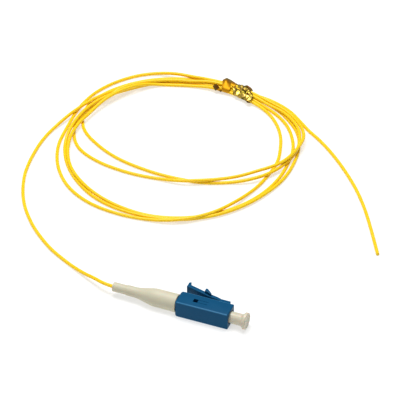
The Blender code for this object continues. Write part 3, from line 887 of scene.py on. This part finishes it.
profile = [(BORE_END, CAP_BORE), (CAP_INNER_X + CAP_EDGE, CAP_BORE), (CAP_INNER_X, CAP_BORE + CAP_EDGE)]
profile += [(CAP_INNER_X, CAP_RADIUS - CAP_EDGE), (CAP_INNER_X + CAP_EDGE, CAP_RADIUS)]
for step in range(FLARE_STEPS + 1):
    share = step / FLARE_STEPS
    flared = CAP_RADIUS + (RIM_RADIUS - CAP_RADIUS) * share ** 2
    profile.append((FLARE_FROM + (RIM_FROM - FLARE_FROM) * share, flared))
for step in range(RIM_STEPS + 1):
    turn = math.radians(90 * step / RIM_STEPS)
    rounded = RIM_RADIUS - RIM_EDGE * (1 - math.cos(turn))
    profile.append((RIM_TO - RIM_EDGE * (1 - math.sin(turn)), rounded))
profile += [(RIM_TO, DISH_RADIUS), (RIM_TO - DISH_DEPTH, DISH_RADIUS - 0.2)]
profile += [(RIM_TO - DISH_DEPTH, PIP_RADIUS), (RIM_TO - DISH_DEPTH / 2, PIP_RADIUS - 0.08)]
cap = turned("cap_sleeve", profile)

milky = Finish("cap_cream")
spot = milky.place()
cloud = milky.noise(spot, 300.0, 2.0)
milky.wear(
    Base_Color=milky.mix(cloud, (0.57, 0.53, 0.41), (0.66, 0.61, 0.485)),
    Roughness=0.30 + 0.12 * cloud,
    Normal=milky.bump(milky.noise(spot, 1800.0), 0.00001, 0.5),
    Subsurface_Weight=0.2,
    Subsurface_Scale=0.001,
)
finish_piece(cap, milky, "cap", "cap", "dust_cap")

# %% Ferrule
# The marks of polishing run along the pin, so the noise is squeezed across it
ALONG_THE_PIN = (1.0, 9.0, 9.0)

ceramic = Finish("ferrule_white")
streaked = ceramic.node("Mapping", {}, {"Vector": ceramic.place(), "Scale": ALONG_THE_PIN})[0]
polish = ceramic.noise(streaked, 700.0, 2.0)
ceramic.wear(
    Base_Color=ceramic.mix(polish, (0.82, 0.82, 0.79), (0.88, 0.88, 0.86)),
    Roughness=0.12 + 0.08 * polish,
    Coat_Weight=0.3,
)
ferrule = bpy.data.objects["ferrule"]
ferrule.data.materials.clear()
ferrule.data.materials.append(ceramic.material)
print("ferrule keeps its solid")

# %% [markdown]
# ## The foil tie
#
# A strip of thin gold foil holds the ring together. It is wound round the bundle and pinched by hand, so
# one wrap stays smooth and the others crumple. Foil starts flat, so this piece starts as a flat grid, whose
# two directions stand for the strip's length and its width. Each of its points is then put in its place on
# a spiral round the bundle. Creased noise pushes it in or out, more at the crumpled end. Each wrap lies a
# little over the one before. The crumpled wraps lean, and here and there one stands off the bundle in a
# peak.

# %% Sizes of the foil
STRIP_WIDTH = 2.5
STRIP_THICKNESS = 0.06
STEPS_PER_WRAP = 44
STEPS_ACROSS = 9
# Middle of the strip along the bundle after each wrap, and how deep its crumpling is there
WRAP_PLACES = (3.3, 5.3, 8.4, 10.6, 13.0)
WRAP_CRUMPLE = (0.12, 0.06, 0.42, 0.46, 0.44)
WIND_START = math.radians(170)
# Half the width and height of the bundle's section, and how square it is: 2 would be an ellipse
HALF_WIDE = 2.05
HALF_HIGH = 1.0
SQUARENESS = 2.4
# How far one edge of the strip lies over the other, and how far the strip's middle bulges
LAYER = 0.14
BULGE = 0.4
# Where a wrap stands off the bundle or is pressed in: place along, width, height, side in degrees
PEAKS = (
    (4.4, 0.8, 0.5, 60), (8.2, 1.0, -0.5, 75), (8.9, 0.9, 0.4, 215), (11.3, 1.1, 0.7, 60),
    (13.2, 1.4, 0.9, 200),
)
# How far the crumpled wraps lean, so that their inner side lies further along the tie
WRAP_LEAN = 2.2
# How far the noise moves on from one wrap to the next, and where the noise that sways the wraps is read
WRAP_STEP = 3.0
SWAY_NOISE_AT = Vector((7.0, 0.0, 0.0))
# The bundle's middle line: its height, its radius at one angle and how much that grows with each degree
BUNDLE_Z = 1.42
BUNDLE_RADIUS = 30.6
BUNDLE_ANGLE = 71
BUNDLE_GROWTH = 0.02
# The radius at which the distance along the tie is counted, and the lowest place that foil may reach
ALONG_RADIUS = 30.8
LOWEST_FOIL = 0.05
print("wraps:", len(WRAP_PLACES) - 1)


# %% Wind the foil strip
def on_bundle(along, across, up):
    """A place beside the bundle's middle line, from its distance along the tie."""
    angle = TIE_FROM - math.degrees(along / ALONG_RADIUS)
    x, y = polar(angle, BUNDLE_RADIUS + (angle - BUNDLE_ANGLE) * BUNDLE_GROWTH + across)
    return Vector((x, y, max(BUNDLE_Z + up, LOWEST_FOIL)))


def foil_point(share, edge):
    """share runs from 0 to 1 along the strip, edge from -0.5 to 0.5 across it."""
    turns = share * (len(WRAP_PLACES) - 1)
    along = np.interp(turns, range(len(WRAP_PLACES)), WRAP_PLACES) + edge * STRIP_WIDTH
    crumple = np.interp(turns, range(len(WRAP_CRUMPLE)), WRAP_CRUMPLE)
    wind = WIND_START + math.tau * turns
    side, rise = math.cos(wind), math.sin(wind)
    reach = (abs(side / HALF_WIDE) ** SQUARENESS + abs(rise / HALF_HIGH) ** SQUARENESS) ** (-1 / SQUARENESS)
    spot = Vector((along, reach * side, reach * rise + turns * WRAP_STEP))
    # Where the noise passes through zero, its absolute value has a sharp crease
    crease = 0.7 - 2 * abs(noise.noise(spot * 0.65)) - abs(noise.noise(spot * 1.6))
    reach += LAYER * (0.5 - edge) + BULGE * (0.5 - 4 * edge * edge) / 2 + crumple * crease
    for place, width, height, turned_to in PEAKS:
        facing = max(math.cos(wind - math.radians(turned_to)), 0.0) ** 3
        reach += height * facing * math.exp(-((along - place) / width) ** 2)
    sway = crumple * (noise.noise(spot * 1.1 + SWAY_NOISE_AT) - WRAP_LEAN * side)
    return on_bundle(along + sway, reach * side, reach * rise)


def add_grid(name, steps_along, steps_across):
    """A flat square grid with sides of 1, whose middle is at the origin."""
    bpy.ops.object.select_all(action="DESELECT")
    bpy.ops.mesh.primitive_grid_add(
        x_subdivisions=steps_along, y_subdivisions=steps_across, size=1.0, calc_uvs=True)
    grid = bpy.context.object
    grid.name = name
    return grid


tie = add_grid("foil_tie", STEPS_PER_WRAP * (len(WRAP_PLACES) - 1), STEPS_ACROSS)
for vertex in tie.data.vertices:
    vertex.co = foil_point(vertex.co.x + 0.5, vertex.co.y)
apply_modifier(tie, "SOLIDIFY", thickness=STRIP_THICKNESS, offset=0.0)
print("foil points:", len(tie.data.vertices))

# %% [markdown]
# Here and there the strip's edge is folded over: a corner that sticks out at the start, two sharp rims on
# top and three small nicks. They are coloured dark brown as painted shade, where the foil falls dark. Each
# is a leaf, wide in its middle and pointed at its ends, along a short line of its own.

# %% Folds in the foil
LEAF_STEPS = 12
LEAF_STEPS_ACROSS = 3
# For each leaf, which way it is wide, in degrees, and its line as (along, across, up, width)
LEAVES = [
    (240, [(1.2, -2.0, 0.65, 0.1), (2.4, -1.7, 1.35, 2.0), (3.4, -2.0, 0.6, 0.1)]),
    (215, [(3.4, 0.9, 1.45, 0.1), (4.2, 1.6, 1.85, 1.3), (5.3, 1.7, 1.5, 0.9), (6.9, 1.5, 1.05, 0.1)]),
    (215, [(9.4, 1.2, 1.1, 0.1), (10.7, 1.5, 1.8, 0.5), (12.0, 1.5, 1.5, 0.5), (12.9, 1.4, 0.9, 0.1)]),
    (240, [(12.5, -1.2, 1.55, 0.05), (13.0, -1.2, 1.75, 0.7), (13.6, -1.4, 1.5, 0.05)]),
    (250, [(13.6, -2.9, 0.2, 0.05), (14.4, -2.75, 0.3, 0.6), (15.6, -2.6, 0.0, 0.05)]),
    (260, [(3.5, -2.35, -0.2, 0.05), (3.9, -2.35, -0.1, 0.5), (4.4, -2.35, -0.2, 0.05)]),
]


def add_leaf(lean, stations):
    """A flat grid, spread along a line of its own and made wide towards one side of it."""
    leaf = add_grid("leaf", LEAF_STEPS, LEAF_STEPS_ACROSS)
    turn = math.radians(lean)
    marks = np.linspace(0.0, 1.0, len(stations))
    for vertex in leaf.data.vertices:
        share, edge = vertex.co.x + 0.5, vertex.co.y + 0.5
        along, across, up, width = [np.interp(share, marks, column) for column in zip(*stations)]
        spread = width * edge
        vertex.co = on_bundle(along, across + spread * math.cos(turn), up + spread * math.sin(turn))
    return leaf


leaves = [add_leaf(lean, stations) for lean, stations in LEAVES]
select_only(leaves[0])
for leaf in leaves[1:]:
    leaf.select_set(True)
bpy.ops.object.join()
folds = bpy.context.object
folds.name = "foil_folds"
apply_modifier(folds, "SOLIDIFY", thickness=STRIP_THICKNESS, offset=0.0)
print("folds:", len(LEAVES))

# %% Gold foil
# The smooth wrap ends at this X, in metres, and the crumpled look fades in over a share of a millimetre
CRUMPLED_FROM_X = -0.0302
CRUMPLED_FADE = 1500.0

gold = Finish("foil_gold")
spot = gold.place()
smudge = gold.noise(spot, 500.0, 2.0)
crumpled = ((gold.node("SeparateXYZ", {}, [spot])[0] - CRUMPLED_FROM_X) * CRUMPLED_FADE).clamped()
# Dark patches painted into the crumpled foil stand in for shade and dark reflections in its creases
painted_shade_patches = ((gold.noise(spot, 900.0, 1.0) - 0.48) * 12.0).clamped() * crumpled
smooth = (0.60, 0.32, 0.02)
shine = gold.mix(smudge, (0.62, 0.40, 0.06), (0.80, 0.62, 0.20))
gold.wear(
    Base_Color=gold.mix(painted_shade_patches, gold.mix(crumpled, smooth, shine), (0.26, 0.20, 0.03)),
    Metallic=1.0,
    Roughness=0.5 - 0.2 * crumpled + 0.15 * smudge,
    Normal=gold.bump(gold.noise(spot, 1800.0), 0.00003, 0.6),
)
finish_piece(tie, gold, "root", "foil", "twist_tie")

# The leaves' dark brown and olive are painted shade on the foil's corner, rims and nicks
brown = Finish("foil_painted_shade")
spot = brown.place()
shade_tone = ((brown.noise(spot, 700.0, 2.0) - 0.4) * 5.0).clamped()
brown.wear(
    Base_Color=brown.mix(shade_tone, (0.18, 0.065, 0.003), (0.15, 0.12, 0.02)),
    Metallic=0.4,
    Roughness=0.4 + 0.2 * shade_tone,
)
finish_piece(folds, brown, "root", "foil", "twist_tie")
BOOT_REAR_X / 1000
AXIS_Z / 1000

# %% Print the visual box
low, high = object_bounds()
print("visual box in mm:", [round(v * 1000, 1) for v in (*low, *high)])
